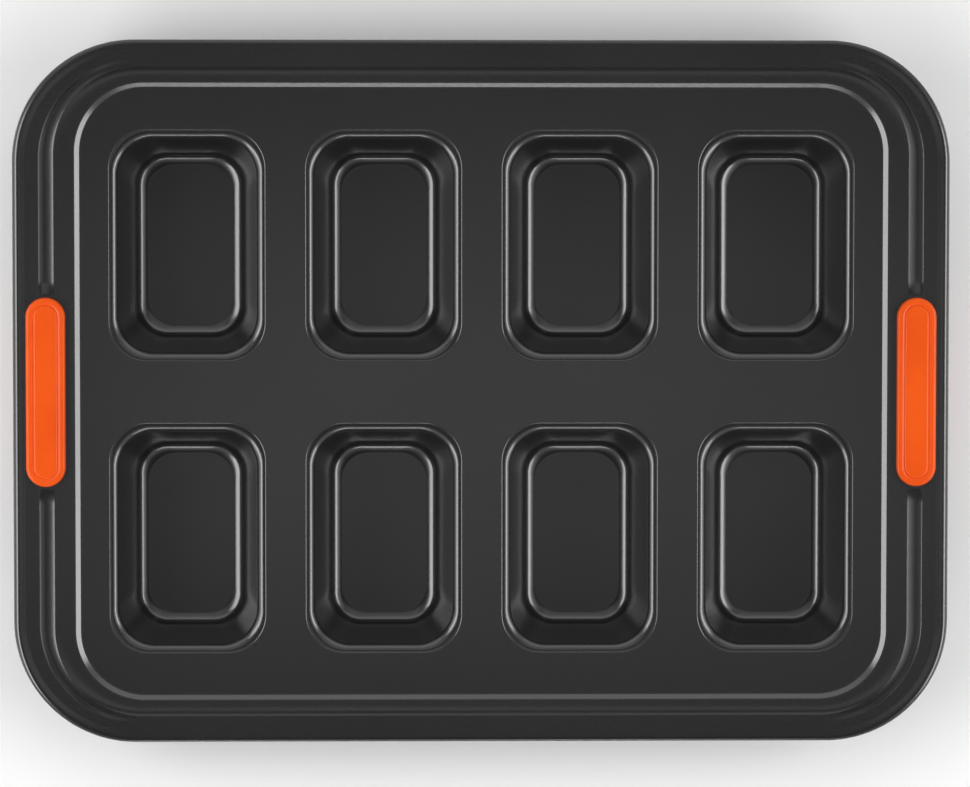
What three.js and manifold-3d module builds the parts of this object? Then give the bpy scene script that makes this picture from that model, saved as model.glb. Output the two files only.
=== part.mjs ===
// Brownie pan: one pressed steel sheet with eight drafted wells, a wired rolled rim and two silicone grips.
// Millimetres, +Z up. The origin is under the middle of the pan, on the surface that it stands on.

import * as THREE from 'three';
import { mergeVertices } from 'three/addons/utils/BufferGeometryUtils.js';
import Module from 'manifold-3d';

const wasm = await Module();
wasm.setup();

// Whole tray, over the rolled rim
const TRAY_LENGTH = 400;
const TRAY_WIDTH = 300;
const CORNER_RADIUS = 52;      // outside of the rim, in plan

// Sheet
const SHEET = 1;               // coated steel
const FIT = 0.3;               // clearance between a grip and the sheet that it grips

// Wells, which fill the deck apart from its margins and the gaps between them. Margins and gaps are
// measured at the deck's top, to where a well's drafted wall would meet it with no bend.
const WELL_COLUMNS = 4;
const WELL_ROWS = 2;
const WELL_GAP_X = 22.2;
const WELL_GAP_Y = 31;
const DECK_MARGIN_X = 14.1;    // from the end wells to the foot of the step
const DECK_MARGIN_Y = 19.5;
const MOUTH_CORNER = 14.6;
const MOUTH_BEND_INSIDE = 2;   // inside radius of the bend from the deck down into the well
const WELL_DEPTH = 30;
const WELL_DRAFT = 14.3;       // degrees off upright
const FLOOR_FILLET = 5;
const FLOOR_CORNER = 9.4;      // plan corner of the flat floor

// Step up from the deck to the flange
const DECK_DROP = 1.8;
const STEP_SLOPE = 40;         // degrees off level
const STEP_BEND_INSIDE = 0.3;

// Rolled rim and the wire in it
const WIRE_RADIUS = 1.2;
const WIRE_CLEARANCE = 0.3;
const RIM_RISE = 0.3;          // crest of the roll above the flange
const CURL_END = -190;         // degrees, where the curl stops short of the flange's underside

// Grips
const GRIP_WIDTH = 16.8;
const GRIP_LENGTH = 80.7;
const GRIP_RISE = 2.4;         // border of the upper pad above its seat
const GRIP_LAP = 4;            // upper pad over the edge of its slot
const GRIP_LOWER_LAP = 2.6;
const GRIP_LOWER_DEPTH = 2.4;
const GRIP_EDGE_ROUND = 1.1;
const GRIP_BORDER = 3;
const PANEL_RISE = 0.6;        // panel above the border round it
const PANEL_BEVEL = 0.5;
const GRIP_RIM_GAP = 0.8;
const GRIP_STEP_GAP = 3.3;

// Flange on the long sides, between the step and the roll
const LONG_BAND = 12.9;

// Pressed groove round the flange, which stops short of each grip
const GROOVE_WIDTH_X = 6.6;    // across the short sides' flange
const GROOVE_WIDTH_Y = 3.8;
const GROOVE_RIM_GAP_X = 5.6;
const GROOVE_RIM_GAP_Y = 3;
const GROOVE_DEPTH = 0.8;
const GROOVE_GRIP_GAP = 5.3;   // from a grip's end to the groove's end
const GROOVE_END_RUN = 3;      // length over which the groove comes up to the flange

// Facets
const TRAY_CORNER_STEPS = 8;
const WELL_CORNER_STEPS = 4;
const GRIP_CORNER_STEPS = 6;
const BEND_STEPS = 3;
const FILLET_STEPS = 3;
const CURL_STEPS = 9;
const WIRE_SIDES = 8;
const GROOVE_STEPS = 4;

// Sizes that follow from those above
const draft = THREE.MathUtils.degToRad(WELL_DRAFT);
const mouthBend = MOUTH_BEND_INSIDE + SHEET;
const mouthTangent = mouthBend * Math.tan(Math.PI / 4 - draft / 2);
const floorTangent = FLOOR_FILLET * Math.tan(Math.PI / 4 - draft / 2);
const wallRun = WELL_DEPTH * Math.tan(draft);
const floorInset = wallRun + floorTangent;

const stepSlope = THREE.MathUtils.degToRad(STEP_SLOPE);
const stepBend = STEP_BEND_INSIDE + SHEET;
const stepStraight = (DECK_DROP - 2 * stepBend * (1 - Math.cos(stepSlope))) / Math.sin(stepSlope);
const stepRun = 2 * stepBend * Math.sin(stepSlope) + stepStraight * Math.cos(stepSlope);

const curlRadius = WIRE_RADIUS + WIRE_CLEARANCE + SHEET;
const rimWidth = 2 * curlRadius;
const shortFlange = rimWidth + GRIP_RIM_GAP + GRIP_WIDTH + GRIP_STEP_GAP;
const longFlange = rimWidth + LONG_BAND;

const trayHalfX = TRAY_LENGTH / 2;
const trayHalfY = TRAY_WIDTH / 2;
const wellFieldX = TRAY_LENGTH - 2 * (shortFlange + stepRun + DECK_MARGIN_X);
const wellFieldY = TRAY_WIDTH - 2 * (longFlange + stepRun + DECK_MARGIN_Y);
const pitchX = (wellFieldX + WELL_GAP_X) / WELL_COLUMNS;
const pitchY = (wellFieldY + WELL_GAP_Y) / WELL_ROWS;
const mouthX = pitchX - WELL_GAP_X;
const mouthY = pitchY - WELL_GAP_Y;

const deckTop = SHEET + WELL_DEPTH;
const flangeTop = deckTop + DECK_DROP;
const rimCentre = flangeTop + RIM_RISE - curlRadius;
const gripCentreX = trayHalfX - rimWidth - GRIP_RIM_GAP - GRIP_WIDTH / 2;
const grooveEnd = GRIP_LENGTH / 2 + GROOVE_GRIP_GAP;
const grooveStops = [grooveEnd + GROOVE_END_RUN, grooveEnd, -grooveEnd, -grooveEnd - GROOVE_END_RUN];

// Points round a rectangle with round corners, anticlockwise seen from above. The stops are places
// along Y where the two sides that run along Y get a point of their own.
function roundedRectangle(halfX, halfY, radius, cornerSteps, stops = []) {
  const points = [];
  const corners = [[1, 1], [-1, 1], [-1, -1], [1, -1]];
  corners.forEach(([sideX, sideY], quarter) => {
    for (let step = 0; step <= cornerSteps; step += 1) {
      const angle = (quarter + step / cornerSteps) * Math.PI / 2;
      const x = sideX * (halfX - radius) + radius * Math.cos(angle);
      const y = sideY * (halfY - radius) + radius * Math.sin(angle);
      points.push(new THREE.Vector2(x, y));
    }
    if (sideX !== sideY) {
      stops.forEach((stop) => points.push(new THREE.Vector2(sideX * halfX, sideY * stop)));
    }
  });
  return points;
}

// A long round-ended outline: two half circles joined by straight sides along Y.
function stadium(halfX, halfY, steps) {
  const shape = new THREE.Shape();
  shape.absarc(0, halfY - halfX, halfX, 0, Math.PI);
  shape.absarc(0, halfX - halfY, halfX, Math.PI, 2 * Math.PI);
  return shape.getPoints(steps);
}

function atHeight(outline, z) {
  return outline.map((point) => new THREE.Vector3(point.x, point.y, z));
}

function ringCentre(ring) {
  const sum = ring.reduce((total, point) => total.add(point), new THREE.Vector3());
  return sum.divideScalar(ring.length);
}

// Closed skin over a run of rings that all have the same number of points. The run goes outwards over
// the top and back underneath. It is capped at both ends, or joined into a loop.
function loft(rings, looped = false) {
  const count = rings[0].length;
  const points = rings.flat();
  const faces = [];
  const joins = looped ? rings.length : rings.length - 1;
  for (let row = 0; row < joins; row += 1) {
    const near = row * count;
    const far = ((row + 1) % rings.length) * count;
    for (let column = 0; column < count; column += 1) {
      const next = (column + 1) % count;
      faces.push(near + column, far + column, far + next);
      faces.push(near + column, far + next, near + next);
    }
  }
  if (!looped) {
    const first = points.push(ringCentre(rings[0])) - 1;
    const last = points.push(ringCentre(rings.at(-1))) - 1;
    const lastRow = (rings.length - 1) * count;
    for (let column = 0; column < count; column += 1) {
      const next = (column + 1) % count;
      faces.push(first, column, next);
      faces.push(last, lastRow + next, lastRow + column);
    }
  }
  const geometry = new THREE.BufferGeometry().setFromPoints(points);
  geometry.setIndex(faces);
  return geometry;
}

function solidOf(geometry) {
  const bare = mergeVertices(geometry);
  const mesh = new wasm.Mesh({
    numProp: 3,
    vertProperties: Float32Array.from(bare.attributes.position.array),
    triVerts: Uint32Array.from(bare.index.array),
  });
  return new wasm.Manifold(mesh);
}

function geometryOf(solid) {
  const mesh = solid.getMesh();
  const geometry = new THREE.BufferGeometry();
  geometry.setAttribute('position', new THREE.BufferAttribute(mesh.vertProperties, 3));
  geometry.setIndex(new THREE.BufferAttribute(mesh.triVerts, 1));
  return geometry;
}

function evenly(from, to, steps) {
  return Array.from({ length: steps + 1 }, (_, step) => from + (to - from) * step / steps);
}

// Pressed sheet: flange, step and deck
// One ring round the tray, set in from its edge, with the groove pressed down by a share of its depth.
function trayRing(insetX, insetY, z, grooveShare = 0) {
  const radius = CORNER_RADIUS - (insetX + insetY) / 2;
  const outline = roundedRectangle(
    trayHalfX - insetX, trayHalfY - insetY, radius, TRAY_CORNER_STEPS, grooveStops);
  return outline.map((point) => {
    const reach = THREE.MathUtils.clamp((Math.abs(point.y) - grooveEnd) / GROOVE_END_RUN, 0, 1);
    return new THREE.Vector3(point.x, point.y, z - GROOVE_DEPTH * grooveShare * reach);
  });
}

// From the deck out to the roll, on the face that lies the given depth below the sheet's top.
function flangeRings(depth) {
  const rings = [];
  const addStepRing = (out, z) => {
    rings.push(trayRing(shortFlange + stepRun - out, longFlange + stepRun - out, z));
  };
  for (const turn of evenly(0, stepSlope, BEND_STEPS)) {
    const radius = stepBend + depth;
    addStepRing(radius * Math.sin(turn), deckTop + stepBend - radius * Math.cos(turn));
  }
  for (const turn of evenly(stepSlope, 0, BEND_STEPS)) {
    const radius = stepBend - depth;
    addStepRing(stepRun - radius * Math.sin(turn), flangeTop - stepBend + radius * Math.cos(turn));
  }
  for (const across of evenly(1, 0, GROOVE_STEPS)) {
    const insetX = rimWidth + GROOVE_RIM_GAP_X + GROOVE_WIDTH_X * across;
    const insetY = rimWidth + GROOVE_RIM_GAP_Y + GROOVE_WIDTH_Y * across;
    rings.push(trayRing(insetX, insetY, flangeTop - depth, 1 - (2 * across - 1) ** 2));
  }
  rings.push(trayRing(rimWidth, rimWidth, flangeTop - depth));
  return rings;
}

// The roll, from its crest round the outside and up again on the inside.
function curlRings(radius) {
  return evenly(90, CURL_END, CURL_STEPS).map((degrees) => {
    const angle = THREE.MathUtils.degToRad(degrees);
    const inset = curlRadius - radius * Math.cos(angle);
    return trayRing(inset, inset, rimCentre + radius * Math.sin(angle));
  });
}

function traySolid() {
  return solidOf(loft([
    ...flangeRings(0),
    ...curlRings(curlRadius),
    ...curlRings(curlRadius - SHEET).reverse(),
    ...flangeRings(SHEET).reverse(),
  ]));
}

// Pressed sheet: wells
function wellRing(inset, drop) {
  const taper = (MOUTH_CORNER - FLOOR_CORNER) / floorInset;
  const radius = MOUTH_CORNER - taper * inset;
  const outline = roundedRectangle(mouthX / 2 - inset, mouthY / 2 - inset, radius, WELL_CORNER_STEPS);
  return atHeight(outline, deckTop - drop);
}

// From the mouth bend down the wall to the floor, on the face that lies the given depth outside the
// well's inner face. The first ring stands upright over the bend, from the given drop below the deck.
function wellSolid(depth, startDrop) {
  const rings = [wellRing(-mouthTangent, startDrop)];
  for (const lean of evenly(Math.PI / 2, draft, BEND_STEPS)) {
    const radius = mouthBend - depth;
    rings.push(wellRing(radius * Math.cos(lean) - mouthTangent, mouthBend - radius * Math.sin(lean)));
  }
  for (const lean of evenly(draft, Math.PI / 2, FILLET_STEPS)) {
    const radius = FLOOR_FILLET + depth;
    const inset = floorInset - radius * Math.cos(lean);
    rings.push(wellRing(inset, WELL_DEPTH - FLOOR_FILLET + radius * Math.sin(lean)));
  }
  return solidOf(loft(rings));
}

function wellCentres() {
  const centres = [];
  for (let row = 0; row < WELL_ROWS; row += 1) {
    for (let column = 0; column < WELL_COLUMNS; column += 1) {
      const x = (column - (WELL_COLUMNS - 1) / 2) * pitchX;
      const y = (row - (WELL_ROWS - 1) / 2) * pitchY;
      centres.push([x, y, 0]);
    }
  }
  return centres;
}

// Oblong slot through the flange for a grip's waist.
function slotSolid(side) {
  const outline = stadium(GRIP_WIDTH / 2 - GRIP_LAP, GRIP_LENGTH / 2 - GRIP_LAP, GRIP_CORNER_STEPS);
  const slot = loft([atHeight(outline, flangeTop + SHEET), atHeight(outline, flangeTop - 2 * SHEET)]);
  return solidOf(slot).translate([side * gripCentreX, 0, 0]);
}

function panSheetGeometry() {
  const cup = wellSolid(SHEET, SHEET / 2);
  const hollow = wellSolid(0, -SHEET);
  let sheet = traySolid();
  for (const centre of wellCentres()) {
    sheet = sheet.add(cup.translate(centre));
  }
  for (const centre of wellCentres()) {
    sheet = sheet.subtract(hollow.translate(centre));
  }
  for (const side of [-1, 1]) {
    sheet = sheet.subtract(slotSolid(side));
  }
  return geometryOf(sheet);
}

// Rim wire: one closed loop in the middle of the roll.
function rimWireGeometry() {
  const turns = Array.from({ length: WIRE_SIDES }, (_, side) => Math.PI / 2 - side * 2 * Math.PI / WIRE_SIDES);
  return loft(turns.map((turn) => {
    const inset = curlRadius - WIRE_RADIUS * Math.cos(turn);
    return trayRing(inset, inset, rimCentre + WIRE_RADIUS * Math.sin(turn));
  }), true);
}

// Grip: a pad above the flange with a raised panel in its border, a waist in the slot and a narrower
// pad below.
function gripGeometry() {
  const seat = flangeTop + FIT;
  const top = seat + GRIP_RISE;
  const lowerSeat = flangeTop - SHEET - FIT;
  const lowerInset = GRIP_LAP - GRIP_LOWER_LAP;
  const gripRing = (inset, z) => {
    const outline = stadium(GRIP_WIDTH / 2 - inset, GRIP_LENGTH / 2 - inset, GRIP_CORNER_STEPS);
    return atHeight(outline, z);
  };
  const edge = evenly(0, Math.PI / 2, FILLET_STEPS).map((turn) => gripRing(
    GRIP_EDGE_ROUND * (1 - Math.sin(turn)), top - GRIP_EDGE_ROUND * (1 - Math.cos(turn))));
  return loft([
    gripRing(GRIP_BORDER + PANEL_BEVEL, top + PANEL_RISE),
    gripRing(GRIP_BORDER, top),
    ...edge,
    gripRing(0, seat),
    gripRing(GRIP_LAP + FIT, seat),
    gripRing(GRIP_LAP + FIT, lowerSeat),
    gripRing(lowerInset, lowerSeat),
    gripRing(lowerInset, lowerSeat - GRIP_LOWER_DEPTH),
  ]);
}

const coatedSteel = new THREE.MeshStandardMaterial({ color: 0x2b2c2e, roughness: 0.35, metalness: 0.3 });
const bareSteel = new THREE.MeshStandardMaterial({ color: 0x9a9c9e, roughness: 0.4, metalness: 1 });
const silicone = new THREE.MeshStandardMaterial({ color: 0xf5561a, roughness: 0.6, metalness: 0 });

function addPiece(group, name, geometry, material, x = 0) {
  const piece = new THREE.Mesh(geometry, material.clone());
  piece.name = name;
  piece.position.x = x;
  group.add(piece);
}

const pan = new THREE.Group();
addPiece(pan, 'pan_sheet', panSheetGeometry(), coatedSteel);
addPiece(pan, 'rim_wire', rimWireGeometry(), bareSteel);
addPiece(pan, 'left_grip', gripGeometry(), silicone, -gripCentreX);
addPiece(pan, 'right_grip', gripGeometry(), silicone, gripCentreX);

export default pan;
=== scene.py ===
"""Looks of an eight-well brownie pan with silicone grips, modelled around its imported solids. Metres."""
import math
from collections import namedtuple

import bmesh
import bpy
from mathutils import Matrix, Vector


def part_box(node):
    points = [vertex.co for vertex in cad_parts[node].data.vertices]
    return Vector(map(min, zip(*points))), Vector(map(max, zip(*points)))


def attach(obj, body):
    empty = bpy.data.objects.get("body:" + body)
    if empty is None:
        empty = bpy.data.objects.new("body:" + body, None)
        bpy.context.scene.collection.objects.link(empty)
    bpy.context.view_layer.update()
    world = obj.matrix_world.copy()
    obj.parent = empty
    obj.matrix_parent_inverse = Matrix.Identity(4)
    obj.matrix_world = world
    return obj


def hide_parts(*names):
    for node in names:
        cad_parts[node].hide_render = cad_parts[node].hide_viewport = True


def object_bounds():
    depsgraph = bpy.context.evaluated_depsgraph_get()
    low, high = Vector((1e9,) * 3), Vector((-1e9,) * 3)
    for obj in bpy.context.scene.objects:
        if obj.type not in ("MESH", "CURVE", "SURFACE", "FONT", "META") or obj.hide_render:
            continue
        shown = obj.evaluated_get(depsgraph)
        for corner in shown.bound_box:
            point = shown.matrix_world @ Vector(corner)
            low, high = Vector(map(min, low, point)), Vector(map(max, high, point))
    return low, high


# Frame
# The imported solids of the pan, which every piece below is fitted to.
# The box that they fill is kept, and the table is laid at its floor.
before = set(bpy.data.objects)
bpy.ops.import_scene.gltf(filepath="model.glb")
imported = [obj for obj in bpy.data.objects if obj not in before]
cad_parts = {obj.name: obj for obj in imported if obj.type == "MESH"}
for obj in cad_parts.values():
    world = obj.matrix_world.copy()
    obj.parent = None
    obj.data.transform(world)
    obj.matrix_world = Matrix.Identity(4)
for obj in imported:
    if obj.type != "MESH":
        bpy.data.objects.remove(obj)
solid_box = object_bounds()
bpy.context.scene.view_settings.view_transform = "Standard"


# Camera
# A long lens high over the pan, a little left of its middle and towards its far side, so that each
# well shows more of one wall than of the one across from it.
LENS_LENGTH = 142.74            # millimetres, on a 36 mm sensor
CAMERA_PLACE = Vector((-0.0325, 0.0736, 1.673))
CAMERA_AIM = Vector((0.0013, -0.0006, 0.033))
STRAIGHT_DOWN = Vector((0, 0, -1))

bpy.ops.object.select_all(action="DESELECT")
bpy.ops.object.camera_add(location=CAMERA_PLACE)
camera = bpy.context.object
camera.name = "camera"
camera.rotation_mode = "QUATERNION"
camera.rotation_quaternion = STRAIGHT_DOWN.rotation_difference(CAMERA_AIM - CAMERA_PLACE)
camera.data.lens = LENS_LENGTH
bpy.context.scene.camera = camera


# Pan sheet
# One sheet of carbon steel, pressed in one stroke into a flange, a recessed deck and eight drafted
# wells. Its edge is rolled round a wire, and a shallow pressed groove stiffens the flange. A dark
# satin non-stick coat covers it all over.
sheet_low, sheet_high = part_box("pan_sheet")
tray_x, tray_y, rim_crest = sheet_high
SHEET = 0.001
TRAY_CORNER = 0.052
TRAY_CORNER_STEPS = 26
TINY = 1e-6

Ring = namedtuple("Ring", "half_x half_y corner z")


def evenly(start, end, steps):
    """Values from start to end, both included."""
    return [start + (end - start) * step / steps for step in range(steps + 1)]


def eased(share):
    """A share from 0 to 1, slowed down at both ends."""
    return (1 - math.cos(share * math.pi)) / 2


def start_plate(name, ring, corner_steps):
    """A flat plate with round corners, left in edit mode with its one face selected."""
    bpy.ops.object.select_all(action="DESELECT")
    bpy.ops.mesh.primitive_plane_add(size=1)
    piece = bpy.context.object
    piece.name = name
    piece.data.name = name
    bpy.ops.object.mode_set(mode="EDIT")
    bpy.ops.transform.resize(value=(2 * ring.half_x, 2 * ring.half_y, 1))
    bpy.ops.transform.translate(value=(0, 0, ring.z))
    bpy.ops.mesh.bevel(offset=ring.corner, segments=corner_steps, profile=0.5, affect="VERTICES")
    bpy.ops.mesh.select_mode(type="FACE")
    bpy.ops.mesh.select_all(action="SELECT")
    bpy.ops.mesh.remove_doubles(threshold=TINY)
    return piece


def place_on(before, after, point):
    """Where a point of one ring lies on the next: at the same turn of a corner, or straight across a side."""
    middle_x, middle_y = before.half_x - before.corner, before.half_y - before.corner
    out_x, out_y = abs(point.x) - middle_x, abs(point.y) - middle_y
    scale = after.corner / before.corner
    x, y = abs(point.x), abs(point.y)
    if out_x > -TINY:
        x = after.half_x - after.corner + out_x * scale
    if out_y > -TINY:
        y = after.half_y - after.corner + out_y * scale
    return math.copysign(x, point.x), math.copysign(y, point.y)


def past_sides(ring, x, y):
    """How far a place lies past the straight stretches of a ring's sides, along X and along Y."""
    return max(0, abs(x) - ring.half_x + ring.corner), max(0, abs(y) - ring.half_y + ring.corner)


def long_share(ring, x, y):
    """0 on a ring's short sides and 1 on its long ones, eased from one to the other round each corner."""
    out_x, out_y = past_sides(ring, x, y)
    turn = math.atan2(out_y, out_x) / (math.pi / 2)
    return turn * turn * (3 - 2 * turn)


def press(before, after, dent=None):
    """Inset the selected face from one ring to the next, and push it to that ring's height. A dent
    gives the depth below that height, at a place along Y and for a share of long side."""
    bpy.ops.mesh.inset(thickness=0, depth=0)
    mesh = bmesh.from_edit_mesh(bpy.context.object.data)
    face = next(face for face in mesh.faces if face.select)
    for vertex in face.verts:
        x, y = place_on(before, after, vertex.co)
        depth = dent(y, long_share(after, x, y)) if dent else 0
        vertex.co = (x, y, after.z - depth)
    bmesh.update_edit_mesh(bpy.context.object.data)


def press_all(rings):
    """Press the selected face through all the rings, from the one that it starts on."""
    for before, after in zip(rings, rings[1:]):
        press(before, after)


def finish_plate(open_end=False, underside=False):
    """Leave edit mode, without the last face or with the faces turned round if asked."""
    if open_end:
        bpy.ops.mesh.delete(type="FACE")
    if underside:
        bpy.ops.mesh.select_all(action="SELECT")
        bpy.ops.mesh.flip_normals()
    bpy.ops.object.mode_set(mode="OBJECT")


def select_only(*pieces):
    """Select these pieces and nothing else, with the first one active."""
    bpy.ops.object.select_all(action="DESELECT")
    for piece in pieces:
        piece.select_set(True)
    bpy.context.view_layer.objects.active = pieces[0]


def join(first, others):
    """Join pieces into the first one, and weld the edges where they meet."""
    select_only(first, *others)
    bpy.ops.object.join()
    bpy.ops.object.mode_set(mode="EDIT")
    bpy.ops.mesh.select_all(action="SELECT")
    bpy.ops.mesh.remove_doubles(threshold=TINY)
    bpy.ops.object.mode_set(mode="OBJECT")


# The roll: over the top from its outermost line to its crest, then down to the flange; and under, from
# the same line round to its end. On the long sides it is squarer, and the flange starts level with it.
CURL_RADIUS = 0.0025
LONG_SQUARENESS = 4                    # 2 would be round
RIM_WIDTH = 2 * CURL_RADIUS
RIM_RISE = 0.0003                      # crest of the roll above the flange
CURL_STEPS = 12
RIM_STEPS = 6
CURL_END = math.radians(-176)
LEAD = 0.0003                          # flat strip that keeps a bend's shading off the flat beside it
rim_centre = rim_crest - CURL_RADIUS
flange_top = rim_crest - RIM_RISE


def tray_ring(inset_x, inset_y, z):
    """A ring inside the tray's outline, by its insets on the short and on the long sides."""
    return Ring(tray_x - inset_x, tray_y - inset_y, TRAY_CORNER - (inset_x + inset_y) / 2, z)


def curl_ring(angle):
    """A ring on the roll, with the angle 0 at its outermost line."""
    inset = CURL_RADIUS * (1 - math.cos(angle))
    return tray_ring(inset, inset, rim_centre + CURL_RADIUS * math.sin(angle))


def squarer(angle):
    """The dent that makes the roll squarer on the long sides, at an angle over its top."""
    across = math.cos(angle)
    square_rise = (1 - across ** LONG_SQUARENESS) ** (1 / LONG_SQUARENESS)

    def depth(y, long_side):
        return long_side * CURL_RADIUS * (math.sin(angle) - square_rise)
    return depth


def rim_ring(share):
    """A ring between the roll's crest, at share 0, and the flange, at share 1."""
    inset = CURL_RADIUS + (RIM_WIDTH - CURL_RADIUS) * share
    return tray_ring(inset, inset, flange_top + RIM_RISE * math.cos(share * math.pi / 2))


def level_with_crest(z):
    """The dent that lifts a ring at this height to the roll's crest, on the long sides."""
    def depth(y, long_side):
        return long_side * (z - rim_crest)
    return depth


curl_under = [curl_ring(angle) for angle in evenly(0, CURL_END, 2 * CURL_STEPS)]
flange = []
for angle in evenly(0, math.pi / 2, CURL_STEPS)[1:]:
    flange.append((curl_ring(angle), squarer(angle)))
for share in evenly(0, 1, RIM_STEPS)[1:]:
    ring = rim_ring(share)
    flange.append((ring, level_with_crest(ring.z)))
after_rim = tray_ring(RIM_WIDTH + LEAD, RIM_WIDTH + LEAD, flange_top)
flange.append((after_rim, level_with_crest(flange_top)))

# The groove, which is deep along the short sides, where it runs out short of each grip. It also runs out
# round the corners, and along the long sides its inner edge goes on as a crease, from which the flange
# falls a little towards the deck.
GROOVE_START = (0.0112, 0.0086)        # from the outline, on the short and on the long sides
GROOVE_OUTER = (0.0019, 0.0012)        # from its outer edge to its bottom
GROOVE_INNER = (0.0048, 0.0015)        # from its bottom to its inner edge
GROOVE_DEPTH = 0.00077
OUTER_RAMP = 0.89                      # share of the outer side's rise that is an even ramp
INNER_RAMP = 0.40                      # and of the inner side's; the rest is steeper at the edge
OUTER_STEEPNESS = 6
INNER_STEEPNESS = 2.2
GROOVE_STOP = 0.0415                   # from the pan's middle line to the groove's end
GROOVE_RUN_OUT = 0.0055                # length over which it comes up to the flange there
GROOVE_STEPS = 24
END_STEPS = 8
LAND_WIDTH = 0.0042                    # of the flange's fall inside the crease
LAND_STEPS = 9
LAND_EASE = 2.5                        # how soon that fall levels out
LONG_LAND_DROP = 0.0002                # how far it ends below the short sides' flange


def groove_ring(across):
    """A ring along the groove, from -1 at its outer edge through 0 at its bottom to 1 at its inner edge."""
    insets = []
    for start, outer, inner in zip(GROOVE_START, GROOVE_OUTER, GROOVE_INNER):
        insets.append(start + outer + across * (outer if across < 0 else inner))
    return tray_ring(*insets, flange_top)


def groove_dent(across):
    """The dent of the groove at one of its rings."""
    reach = abs(across)
    rise = INNER_RAMP * reach + (1 - INNER_RAMP) * reach ** INNER_STEEPNESS
    if across < 0:
        rise = OUTER_RAMP * reach + (1 - OUTER_RAMP) * reach ** OUTER_STEEPNESS

    def depth(y, long_side):
        from_end = min(1, max(0, (abs(y) - GROOVE_STOP) / GROOVE_RUN_OUT))
        return (1 - long_side) * from_end * GROOVE_DEPTH * (1 - rise) - long_side * RIM_RISE
    return depth


def land_ring(share):
    """A ring between the groove's inner edge, at share 0, and the end of the fall, at share 1."""
    insets = [start + outer + inner + LAND_WIDTH * share
              for start, outer, inner in zip(GROOVE_START, GROOVE_OUTER, GROOVE_INNER)]
    return tray_ring(*insets, flange_top)


def land_dent(share):
    """The dent of the flange's fall from the crease, on the long sides."""
    def depth(y, long_side):
        return long_side * (LONG_LAND_DROP - (RIM_RISE + LONG_LAND_DROP) * (1 - share) ** LAND_EASE)
    return depth


before_groove = tray_ring(*(start - LEAD for start in GROOVE_START), flange_top)
flange.append((before_groove, level_with_crest(flange_top)))
for across in evenly(-1, 1, GROOVE_STEPS):
    flange.append((groove_ring(across), groove_dent(across)))
for root_share in evenly(0, 1, LAND_STEPS)[1:]:
    share = root_share ** 2
    flange.append((land_ring(share), land_dent(share)))

# The step down from the flange to the deck: two bends with a short slope between them.
SHORT_FLANGE = 0.0261
LONG_FLANGE = 0.0179
DECK_DROP = 0.0015
STEP_SLOPE = math.radians(33)
LONG_RUN = 0.88                        # width of the step on the long sides, as a share
STEP_BEND = 0.0011
STEP_BEND_STEPS = 6
deck_top = flange_top - DECK_DROP
bend_fall = STEP_BEND * (1 - math.cos(STEP_SLOPE))
step_straight = (DECK_DROP - 2 * bend_fall) / math.sin(STEP_SLOPE)
step_run = 2 * STEP_BEND * math.sin(STEP_SLOPE) + step_straight * math.cos(STEP_SLOPE)


def add_step_ring(run, fall):
    """Add a ring on the step, by its run from the flange's edge and its fall below the flange."""
    def depth(y, long_side):
        return long_side * LONG_LAND_DROP * (1 - fall / DECK_DROP)
    insets = (SHORT_FLANGE + run, LONG_FLANGE + LONG_RUN * run)
    flange.append((tray_ring(*insets, flange_top - fall), depth))


add_step_ring(-LEAD, 0)
for turn in evenly(0, STEP_SLOPE, STEP_BEND_STEPS):
    add_step_ring(STEP_BEND * math.sin(turn), STEP_BEND * (1 - math.cos(turn)))
for turn in evenly(STEP_SLOPE, 0, STEP_BEND_STEPS):
    add_step_ring(step_run - STEP_BEND * math.sin(turn), DECK_DROP - STEP_BEND * (1 - math.cos(turn)))
add_step_ring(step_run + LEAD, DECK_DROP)


def add_stops(half_x, stops):
    """Put points along both short sides of the plate, at the given places along Y."""
    for side in (-1, 1):
        bpy.ops.mesh.select_mode(type="EDGE")
        bpy.ops.mesh.select_all(action="DESELECT")
        mesh = bmesh.from_edit_mesh(bpy.context.object.data)
        for edge in mesh.edges:
            if all(abs(vertex.co.x - side * half_x) < TINY for vertex in edge.verts):
                edge.select_set(True)
        bpy.ops.mesh.subdivide(number_cuts=len(stops))
        mesh = bmesh.from_edit_mesh(bpy.context.object.data)
        on_side = [vertex for vertex in mesh.verts if abs(vertex.co.x - side * half_x) < TINY]
        between = sorted(on_side, key=lambda vertex: vertex.co.y)[1:-1]
        for vertex, stop in zip(between, stops):
            vertex.co.y = stop
        bmesh.update_edit_mesh(bpy.context.object.data)
    bpy.ops.mesh.select_mode(type="FACE")
    bpy.ops.mesh.select_all(action="SELECT")


upper_stops = [GROOVE_STOP - LEAD, *evenly(GROOVE_STOP, GROOVE_STOP + GROOVE_RUN_OUT, END_STEPS)]
upper_stops.append(GROOVE_STOP + GROOVE_RUN_OUT + LEAD)
groove_stops = [-stop for stop in reversed(upper_stops)] + upper_stops
last_ring = curl_under[0]
pan_sheet = start_plate("pan_sheet_pressing", last_ring, TRAY_CORNER_STEPS)
add_stops(tray_x, groove_stops)
for ring, dent in flange:
    press(last_ring, ring, dent)
    last_ring = ring
finish_plate(open_end=True)

roll_under = start_plate("roll_under", curl_under[0], TRAY_CORNER_STEPS)
add_stops(tray_x, groove_stops)
press_all(curl_under)
finish_plate(open_end=True, underside=True)
join(pan_sheet, [roll_under])

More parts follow.
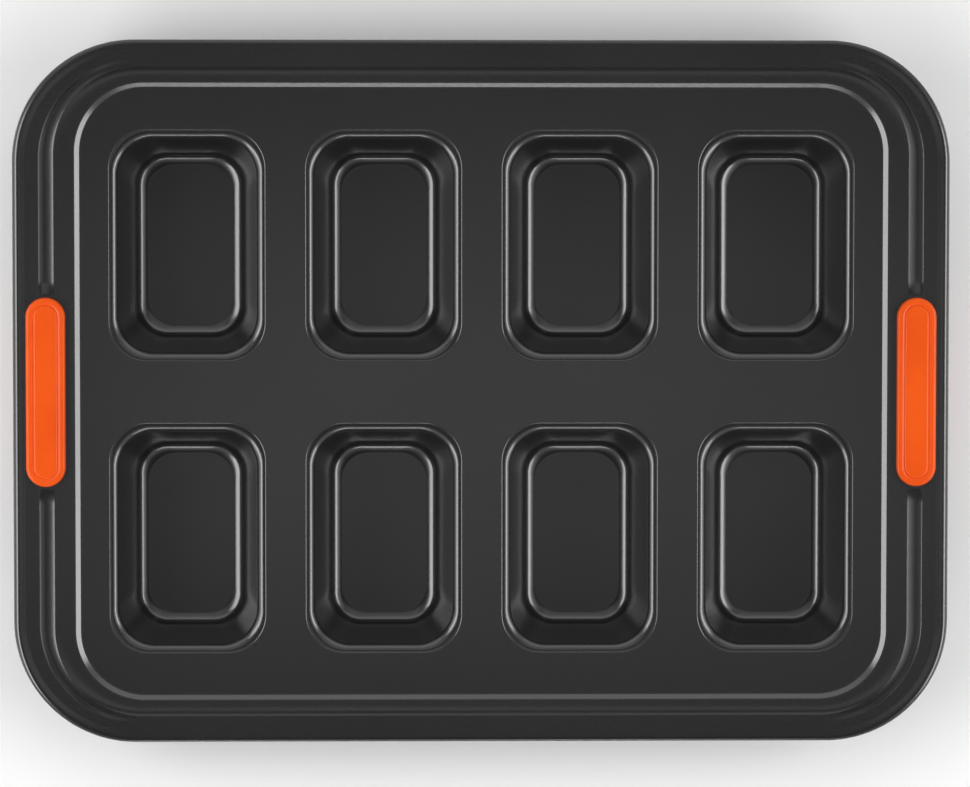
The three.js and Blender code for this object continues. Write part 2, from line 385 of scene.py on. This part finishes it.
# One well: a fine pressed line round its mouth, the bend over its edge, the drafted wall, a tight bend at
# the wall's foot that eases into a wide dished one, and a last small bend to the flat of the floor.
WELL_COLUMNS = 4
WELL_ROWS = 2
WELL_PITCH = (0.0838, 0.125)
MOUTH_HALF = (0.0301, 0.0460)          # where the wall would meet the deck with no bend
MOUTH_CORNER = 0.0155
CORNER_TAPER = 0.30                    # how much a corner's radius shrinks for each unit of inset
WELL_CORNER_STEPS = 16
WELL_DEPTH = deck_top - SHEET - sheet_low.z
WELL_DRAFT = math.radians(15.1)
END_SHARE = 0.95                       # inset of the end walls, as a share of the side walls'
MOUTH_BEND = 0.0038
FOOT_BEND = 0.0035
DISH_BEND = 0.0087
DISH_SLOPE = math.radians(29)
FLOOR_BEND = 0.0015
FLOOR_SLOPE = math.radians(12)
WELL_BEND_STEPS = 10
MOUTH_LINE_WIDTH = 0.00035             # of the fine line pressed round the mouth
MOUTH_LINE_DROP = 0.00014
MOUTH_LINE_STEPS = 6
LINE_LEAD = 0.0001                     # flat strips beside that line, and on the wall and the floor
WALL_LEAD = 0.0006
wall_slope = math.pi / 2 - WELL_DRAFT
mouth_tangent = MOUTH_BEND * math.tan(wall_slope / 2)
bend_end = MOUTH_LINE_DROP + MOUTH_BEND * (1 - math.cos(wall_slope))
lower_bends = (                        # radius, and the slopes that it goes from and to
    (FOOT_BEND, wall_slope, DISH_SLOPE),
    (DISH_BEND, DISH_SLOPE, FLOOR_SLOPE),
    (FLOOR_BEND, FLOOR_SLOPE, 0),
)
lower_drop = sum(radius * (math.cos(end) - math.cos(start)) for radius, start, end in lower_bends)
foot_drop = WELL_DEPTH - lower_drop


def well_ring(inset, drop):
    """A ring of the well, by its inset from the mouth, which is negative outside it, and its drop."""
    half_x = MOUTH_HALF[0] - inset
    half_y = MOUTH_HALF[1] - min(inset, END_SHARE * inset)
    return Ring(half_x, half_y, MOUTH_CORNER - CORNER_TAPER * inset, deck_top - drop)


def wall_ring(drop):
    """A ring on the drafted wall."""
    return well_ring((drop - MOUTH_LINE_DROP) * math.tan(WELL_DRAFT), drop)


line_end = -mouth_tangent - LINE_LEAD
line_start = line_end - MOUTH_LINE_WIDTH
well_rings = [well_ring(line_start - LEAD, 0)]
for share in evenly(0, 1, MOUTH_LINE_STEPS):
    well_rings.append(well_ring(line_start + MOUTH_LINE_WIDTH * share, MOUTH_LINE_DROP * eased(share)))
for slope in evenly(0, wall_slope, WELL_BEND_STEPS):
    inset = MOUTH_BEND * math.sin(slope) - mouth_tangent
    well_rings.append(well_ring(inset, MOUTH_LINE_DROP + MOUTH_BEND * (1 - math.cos(slope))))
well_rings.append(wall_ring(bend_end + WALL_LEAD))
well_rings.append(wall_ring(foot_drop - WALL_LEAD))
inset = (foot_drop - MOUTH_LINE_DROP) * math.tan(WELL_DRAFT)
drop = foot_drop
well_rings.append(well_ring(inset, drop))
for radius, start, end in lower_bends:
    bend_inset, bend_drop = inset, drop
    for slope in evenly(start, end, WELL_BEND_STEPS)[1:]:
        inset = bend_inset + radius * (math.sin(start) - math.sin(slope))
        drop = bend_drop + radius * (math.cos(slope) - math.cos(start))
        well_rings.append(well_ring(inset, drop))
well_rings.append(well_ring(inset + WALL_LEAD, WELL_DEPTH))

well = start_plate("well", well_rings[0], WELL_CORNER_STEPS)
press_all(well_rings)
finish_plate()
wells = []
for row in range(WELL_ROWS):
    for column in range(WELL_COLUMNS):
        select_only(well)
        bpy.ops.object.duplicate()
        x = (column - (WELL_COLUMNS - 1) / 2) * WELL_PITCH[0]
        y = (row - (WELL_ROWS - 1) / 2) * WELL_PITCH[1]
        bpy.ops.transform.translate(value=(x, y, 0))
        wells.append(bpy.context.object)
bpy.data.objects.remove(well)
join(pan_sheet, wells)

# The deck between the wells and the step.
bpy.ops.object.mode_set(mode="EDIT")
bpy.ops.mesh.select_mode(type="EDGE")
bpy.ops.mesh.select_all(action="DESELECT")
mesh = bmesh.from_edit_mesh(pan_sheet.data)
for edge in mesh.edges:
    if edge.is_boundary and all(abs(vertex.co.z - deck_top) < TINY for vertex in edge.verts):
        edge.select_set(True)
bpy.ops.mesh.fill(use_beauty=True)
bpy.ops.mesh.select_mode(type="FACE")
mesh = bmesh.from_edit_mesh(pan_sheet.data)
for face in mesh.faces:
    face.select_set(face.select and face.normal.z < 0)
bpy.ops.mesh.flip_normals()
bpy.ops.object.mode_set(mode="OBJECT")


def finish_with(piece, kind, **settings):
    """Add a modifier to a piece with these settings, and apply it."""
    select_only(piece)
    bpy.ops.object.modifier_add(type=kind)
    modifier = piece.modifiers[-1]
    for setting, value in settings.items():
        setattr(modifier, setting, value)
    bpy.ops.object.modifier_apply(modifier=modifier.name)


# The sheet gets its thickness. Under the flange, the deck and the lines round the mouths its lower face
# lies straight under the upper one, because square to such fine bends it would fold over itself.
roll_end = tray_ring(RIM_WIDTH, RIM_WIDTH, flange_top)
lowest_fine_bend = deck_top - MOUTH_LINE_DROP - TINY


def inside_roll(x, y):
    return math.hypot(*past_sides(roll_end, x, y)) < roll_end.corner + TINY


upper_count = len(pan_sheet.data.vertices)
finish_with(pan_sheet, "SOLIDIFY", thickness=SHEET, offset=-1, use_even_offset=True)
points = pan_sheet.data.vertices
for upper, lower in zip(points[:upper_count], points[upper_count:]):
    if upper.co.z > lowest_fine_bend and inside_roll(upper.co.x, upper.co.y):
        lower.co = upper.co - Vector((0, 0, SHEET))

# The oblong slots that the grips are pushed through.
GRIP_LAP = 0.004                       # a grip's pad over the edge of its slot
SLOT_CORNER_STEPS = 12
SLOT_CUT = 3 * SHEET                   # from above the sheet to below it
SHEET_SHARP_EDGE = math.radians(35)    # an edge that turns further than this isn't shaded smooth
for grip_node in ("left_grip", "right_grip"):
    grip_low, grip_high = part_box(grip_node)
    slot_half = (grip_high - grip_low) / 2 - Vector((GRIP_LAP, GRIP_LAP, 0))
    slot_ring = Ring(slot_half.x, slot_half.y, slot_half.x, flange_top + SHEET)
    slot = start_plate("slot", slot_ring, SLOT_CORNER_STEPS)
    bpy.ops.mesh.extrude_region_move(TRANSFORM_OT_translate={"value": (0, 0, -SLOT_CUT)})
    bpy.ops.mesh.select_all(action="SELECT")
    bpy.ops.mesh.normals_make_consistent(inside=False)
    bpy.ops.transform.translate(value=((grip_low.x + grip_high.x) / 2, 0, 0))
    bpy.ops.object.mode_set(mode="OBJECT")
    finish_with(pan_sheet, "BOOLEAN", operation="DIFFERENCE", solver="EXACT", object=slot)
    bpy.data.objects.remove(slot)
bpy.ops.object.shade_smooth_by_angle(angle=SHEET_SHARP_EDGE)

# The coat: sprayed on and baked, with a very fine grain in its tone, its gloss and its surface.
COAT_DARK = (0.0034, 0.0034, 0.0035)
COAT_PALE = (0.0205, 0.0206, 0.0209)
NOISE_LOW = 0.3                        # most of a noise texture's values lie between these two
NOISE_HIGH = 0.7


def new_material(name):
    """A node material, with its node tree and its shader."""
    material = bpy.data.materials.new(name)
    material.use_nodes = True
    return material, material.node_tree, material.node_tree.nodes["Principled BSDF"]


def add_node(tree, kind, **inputs):
    """A node with these values on its named inputs."""
    node = tree.nodes.new(kind)
    for socket, value in inputs.items():
        node.inputs[socket.replace("_", " ")].default_value = value
    return node


def fine_grain_group():
    """Fine and coarse noise over a surface: a grain for bump, and a slow drift of tone."""
    group = bpy.data.node_groups.new("fine_grain", "ShaderNodeTree")
    group.interface.new_socket("Grain Scale", in_out="INPUT", socket_type="NodeSocketFloat")
    group.interface.new_socket("Drift Scale", in_out="INPUT", socket_type="NodeSocketFloat")
    group.interface.new_socket("Grain", in_out="OUTPUT", socket_type="NodeSocketFloat")
    group.interface.new_socket("Drift", in_out="OUTPUT", socket_type="NodeSocketFloat")
    inputs = group.nodes.new("NodeGroupInput")
    outputs = group.nodes.new("NodeGroupOutput")
    place = group.nodes.new("ShaderNodeTexCoord")
    grain = add_node(group, "ShaderNodeTexNoise", Detail=2.0, Roughness=0.6)
    drift = add_node(group, "ShaderNodeTexNoise", Detail=3.0, Roughness=0.5)
    for noise, scale, result in ((grain, "Grain Scale", "Grain"), (drift, "Drift Scale", "Drift")):
        group.links.new(place.outputs["Object"], noise.inputs["Vector"])
        group.links.new(inputs.outputs[scale], noise.inputs["Scale"])
        group.links.new(noise.outputs["Fac"], outputs.inputs[result])
    return group


def add_grain(tree, grain_scale, drift_scale):
    """The fine grain in a material, at its own scales."""
    node = tree.nodes.new("ShaderNodeGroup")
    node.node_tree = fine_grain
    node.inputs["Grain Scale"].default_value = grain_scale
    node.inputs["Drift Scale"].default_value = drift_scale
    return node


def link_range(tree, source, target, low, high):
    """Feed a socket with a value that runs from low to high as a noise does."""
    spread = add_node(tree, "ShaderNodeMapRange", From_Min=NOISE_LOW, From_Max=NOISE_HIGH,
                      To_Min=low, To_Max=high)
    tree.links.new(source, spread.inputs["Value"])
    tree.links.new(spread.outputs["Result"], target)


def link_colours(tree, source, target, first, second):
    """Feed a colour socket with a blend that runs from one colour to the other as a noise does."""
    blend = tree.nodes.new("ShaderNodeValToRGB")
    ends = zip(blend.color_ramp.elements, (NOISE_LOW, NOISE_HIGH), (first, second))
    for element, position, colour in ends:
        element.position = position
        element.color = (*colour, 1)
    tree.links.new(source, blend.inputs["Fac"])
    tree.links.new(blend.outputs["Color"], target)


def link_bump(tree, height, shader, strength, depth):
    """Give a shader the bump of a height that runs from 0 to 1, with its depth in metres."""
    bump = add_node(tree, "ShaderNodeBump", Strength=strength, Distance=depth)
    tree.links.new(height, bump.inputs["Height"])
    tree.links.new(bump.outputs["Normal"], shader.inputs["Normal"])


def coat_material():
    material, tree, shader = new_material("satin_coat")
    grain = add_grain(tree, grain_scale=2200.0, drift_scale=14.0)
    link_colours(tree, grain.outputs["Grain"], shader.inputs["Base Color"], COAT_DARK, COAT_PALE)
    link_range(tree, grain.outputs["Drift"], shader.inputs["Roughness"], low=0.18, high=0.22)
    link_bump(tree, grain.outputs["Grain"], shader, strength=0.25, depth=0.00004)
    shader.inputs["IOR"].default_value = 1.86
    return material


def cover(piece, material):
    """Give a piece one material all over."""
    piece.data.materials.clear()
    piece.data.materials.append(material)


fine_grain = fine_grain_group()
cover(pan_sheet, coat_material())
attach(pan_sheet, "root")
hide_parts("pan_sheet")


# Rim wire
# A loop of plain drawn steel wire that stiffens the rolled rim. It lies inside the roll, with its ends
# butted, and shows only in the slit under the flange.
WIRE_DARK = (0.36, 0.37, 0.38)
WIRE_PALE = (0.50, 0.51, 0.52)


def wire_material():
    material, tree, shader = new_material("drawn_wire")
    grain = add_grain(tree, grain_scale=900.0, drift_scale=60.0)
    link_colours(tree, grain.outputs["Drift"], shader.inputs["Base Color"], WIRE_DARK, WIRE_PALE)
    link_range(tree, grain.outputs["Grain"], shader.inputs["Roughness"], low=0.30, high=0.45)
    link_bump(tree, grain.outputs["Grain"], shader, strength=0.2, depth=0.00003)
    shader.inputs["Metallic"].default_value = 1.0
    return material


cover(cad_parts["rim_wire"], wire_material())


# Grips
# Two one-piece grommets of orange silicone, each moulded with a pad above the flange, a waist in the
# slot and a narrower pad below. The upper pad has a plain panel standing up inside its border, with a
# shallow crease between the two.
SILICONE_DEEP = (0.79, 0.080, 0.0022)
SILICONE_BRIGHT = (0.86, 0.098, 0.0036)
GRIP_CORNER_STEPS = 16
GRIP_BORDER = 0.0034
PANEL_RISE = 0.0004                    # panel above the border
PANEL_ROUND = 0.0012
PANEL_FOOT = 25                        # degrees up the panel's round edge, where it meets the crease
PANEL_EDGE = 0.0009                    # from the border to the panel's flat
CREASE_WIDTH = 0.0013
CREASE_FALL = 0.8                      # share of the crease's width that falls towards the panel
CREASE_DEPTH = 0.0003
CREASE_STEPS = 6
PAD_EDGE_ROUND = 0.0014
PAD_FOOT_ROUND = 0.0003
WAIST_FIT = 0.0003                     # between the waist and the slot
SEAT_GAP = 0.00005                     # between a pad and the sheet
LOWER_LAP = 0.0026                     # lower pad over the edge of the slot
LOWER_ROUND = 0.0009
ROUND_STEPS = 7
GRIP_SHARP_EDGE = math.radians(40)
pad_seat = flange_top + SEAT_GAP
lower_seat = flange_top - SHEET - SEAT_GAP


def silicone_material():
    """Matt moulded silicone, a little darker and lighter from place to place."""
    material, tree, shader = new_material("orange_silicone")
    grain = add_grain(tree, grain_scale=1500.0, drift_scale=45.0)
    link_colours(tree, grain.outputs["Drift"], shader.inputs["Base Color"], SILICONE_DEEP, SILICONE_BRIGHT)
    link_range(tree, grain.outputs["Grain"], shader.inputs["Roughness"], low=0.30, high=0.36)
    link_bump(tree, grain.outputs["Grain"], shader, strength=0.2, depth=0.00004)
    shader.inputs["IOR"].default_value = 1.38
    return material


def make_grip(node, finish):
    """One grip: the two faces of each pad are pressed as plates, and the waist bridges them."""
    low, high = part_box(node)
    half_x = (high.x - low.x) / 2
    half_y = (high.y - low.y) / 2
    border_top = high.z - PANEL_RISE
    lower_inset = GRIP_LAP - LOWER_LAP
    waist_inset = GRIP_LAP + WAIST_FIT

    def ring(inset, z):
        return Ring(half_x - inset, half_y - inset, half_x - inset, z)

    def rounded(inset, z, radius, start, end):
        """Rings round an edge, with the angle 0 pointing out and 90 degrees pointing up."""
        angles = evenly(math.radians(start), math.radians(end), ROUND_STEPS)
        return [ring(inset - radius * math.cos(angle), z + radius * math.sin(angle)) for angle in angles]

    pad_foot = ring(0, pad_seat + PAD_FOOT_ROUND)
    crease_start = GRIP_BORDER - CREASE_WIDTH
    panel_edge = GRIP_BORDER + PANEL_EDGE
    crease = []
    for share in evenly(0, 1, CREASE_STEPS):
        inset = crease_start + CREASE_FALL * CREASE_WIDTH * share
        crease.append(ring(inset, border_top - CREASE_DEPTH * eased(share)))
    upper_top = [
        pad_foot,
        ring(0, border_top - PAD_EDGE_ROUND - LEAD),
        *rounded(PAD_EDGE_ROUND, border_top - PAD_EDGE_ROUND, PAD_EDGE_ROUND, 0, 90),
        ring(PAD_EDGE_ROUND + LEAD, border_top),
        ring(crease_start - LEAD, border_top),
        *crease,
        *rounded(panel_edge, high.z - PANEL_ROUND, PANEL_ROUND, PANEL_FOOT, 90),
        ring(panel_edge + LEAD, high.z),
    ]
    upper_under = [
        *rounded(PAD_FOOT_ROUND, pad_seat + PAD_FOOT_ROUND, PAD_FOOT_ROUND, 0, -90),
        ring(waist_inset, pad_seat),
    ]
    lower_edge = lower_inset + PAD_FOOT_ROUND
    lower_top = [
        *rounded(lower_edge, lower_seat - PAD_FOOT_ROUND, PAD_FOOT_ROUND, 0, 90),
        ring(waist_inset, lower_seat),
    ]
    lower_under = [
        ring(lower_inset, lower_seat - PAD_FOOT_ROUND),
        *rounded(lower_inset + LOWER_ROUND, low.z + LOWER_ROUND, LOWER_ROUND, 0, -90),
        ring(lower_inset + LOWER_ROUND + LEAD, low.z),
    ]
    faces = []
    for rings, open_end, underside in ((upper_top, False, False), (upper_under, True, True),
                                       (lower_top, True, False), (lower_under, False, True)):
        faces.append(start_plate(node + "_moulding", rings[0], GRIP_CORNER_STEPS))
        press_all(rings)
        finish_plate(open_end, underside)
    grip = faces[0]
    join(grip, faces[1:])
    bpy.ops.object.mode_set(mode="EDIT")
    bpy.ops.mesh.select_mode(type="EDGE")
    bpy.ops.mesh.select_all(action="DESELECT")
    bpy.ops.mesh.select_non_manifold(extend=False)
    bpy.ops.mesh.bridge_edge_loops()
    bpy.ops.mesh.select_all(action="SELECT")
    bpy.ops.mesh.normals_make_consistent(inside=False)
    bpy.ops.transform.translate(value=((low.x + high.x) / 2, 0, 0))
    bpy.ops.object.mode_set(mode="OBJECT")
    bpy.ops.object.shade_smooth_by_angle(angle=GRIP_SHARP_EDGE)
    cover(grip, finish)
    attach(grip, "root")
    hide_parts(node)


silicone = silicone_material()
for grip_node in ("left_grip", "right_grip"):
    make_grip(grip_node, silicone)


# Studio
# A white table under the pan, a soft box high to each side with dim panels above and below it, a narrow
# box at the near side, weak panels at the far side and overhead, and a room that is pale grey all round.
TABLE_SIZE = 12.0
TABLE_DARK = (0.91, 0.91, 0.91)
TABLE_PALE = (0.93, 0.93, 0.93)
AIM_HEIGHT = 0.03                      # that the lamps round the pan are turned to


def table_material():
    material, tree, shader = new_material("white_table")
    grain = add_grain(tree, grain_scale=300.0, drift_scale=3.0)
    link_colours(tree, grain.outputs["Drift"], shader.inputs["Base Color"], TABLE_DARK, TABLE_PALE)
    shader.inputs["Roughness"].default_value = 0.9
    shader.inputs["Specular IOR Level"].default_value = 0.0
    return material


bpy.ops.object.select_all(action="DESELECT")
bpy.ops.mesh.primitive_plane_add(size=TABLE_SIZE, location=(0, 0, solid_box[0].z))
table = bpy.context.object
table.name = "table"
cover(table, table_material())


def add_soft_box(name, place, aim, width, height, radiance):
    """A rectangular lamp with the given brightness, its width level and its face turned to the aim."""
    bpy.ops.object.light_add(type="AREA", location=place)
    lamp = bpy.context.object
    lamp.name = name
    lamp.rotation_euler = (Vector(aim) - Vector(place)).to_track_quat("-Z", "Y").to_euler()
    lamp.data.shape = "RECTANGLE"
    lamp.data.size = width
    lamp.data.size_y = height
    lamp.data.energy = radiance * math.pi * width * height
    lamp.visible_camera = False


add_soft_box("left_box", (-0.804, -0.135, 0.705), (0, -0.135, AIM_HEIGHT),
             width=1.03, height=0.37, radiance=4.5)
add_soft_box("right_box", (0.849, -0.175, 0.647), (0, -0.175, AIM_HEIGHT),
             width=0.95, height=0.295, radiance=5.0)
add_soft_box("left_low_panel", (-1.0, -0.1, 0.354), (0, -0.1, AIM_HEIGHT),
             width=1.1, height=0.446, radiance=0.88)
add_soft_box("right_low_panel", (1.004, -0.1, 0.337), (0, -0.1, AIM_HEIGHT),
             width=1.1, height=0.408, radiance=0.88)
add_soft_box("left_panel", (-0.80, -0.1, 1.24), (0, -0.1, AIM_HEIGHT),
             width=1.2, height=0.40, radiance=0.10)
add_soft_box("right_panel", (0.93, -0.1, 1.20), (0, -0.1, AIM_HEIGHT),
             width=1.2, height=0.45, radiance=0.60)
add_soft_box("near_box", (0, -1.044, 0.621), (0, 0, AIM_HEIGHT),
             width=0.6, height=0.105, radiance=6.6)
add_soft_box("far_box", (0, 1.078, 0.757), (0, 0, AIM_HEIGHT),
             width=2.2, height=0.75, radiance=0.44)
add_soft_box("far_panel", (0, 1.08, 2.28), (0, 0, AIM_HEIGHT),
             width=2.2, height=1.20, radiance=0.44)
add_soft_box("top_panel", (0.07, -0.16, 3.0), (0.07, -0.16, 0),
             width=1.10, height=0.58, radiance=0.40)

# The room, by how far up one looks, from 0 for level to 1 for straight up, and how bright it is there.
ROOM_LEVELS = ((0.20, 0.18), (0.40, 0.62), (0.66, 0.62), (0.82, 0.12), (0.97, 0.04))
world = bpy.data.worlds.new("studio")
bpy.context.scene.world = world
world.use_nodes = True
sky = world.node_tree
direction = sky.nodes.new("ShaderNodeTexCoord")
split = sky.nodes.new("ShaderNodeSeparateXYZ")
brightness = sky.nodes.new("ShaderNodeValToRGB")
heights = brightness.color_ramp.elements
heights[0].position = ROOM_LEVELS[0][0]
heights[1].position = ROOM_LEVELS[-1][0]
for height, level in ROOM_LEVELS[1:-1]:
    heights.new(height)
for element, (height, level) in zip(heights, ROOM_LEVELS):
    element.color = (level, level, level, 1)
sky.links.new(direction.outputs["Generated"], split.inputs["Vector"])
sky.links.new(split.outputs["Z"], brightness.inputs["Fac"])
sky.links.new(brightness.outputs["Color"], sky.nodes["Background"].inputs["Color"])
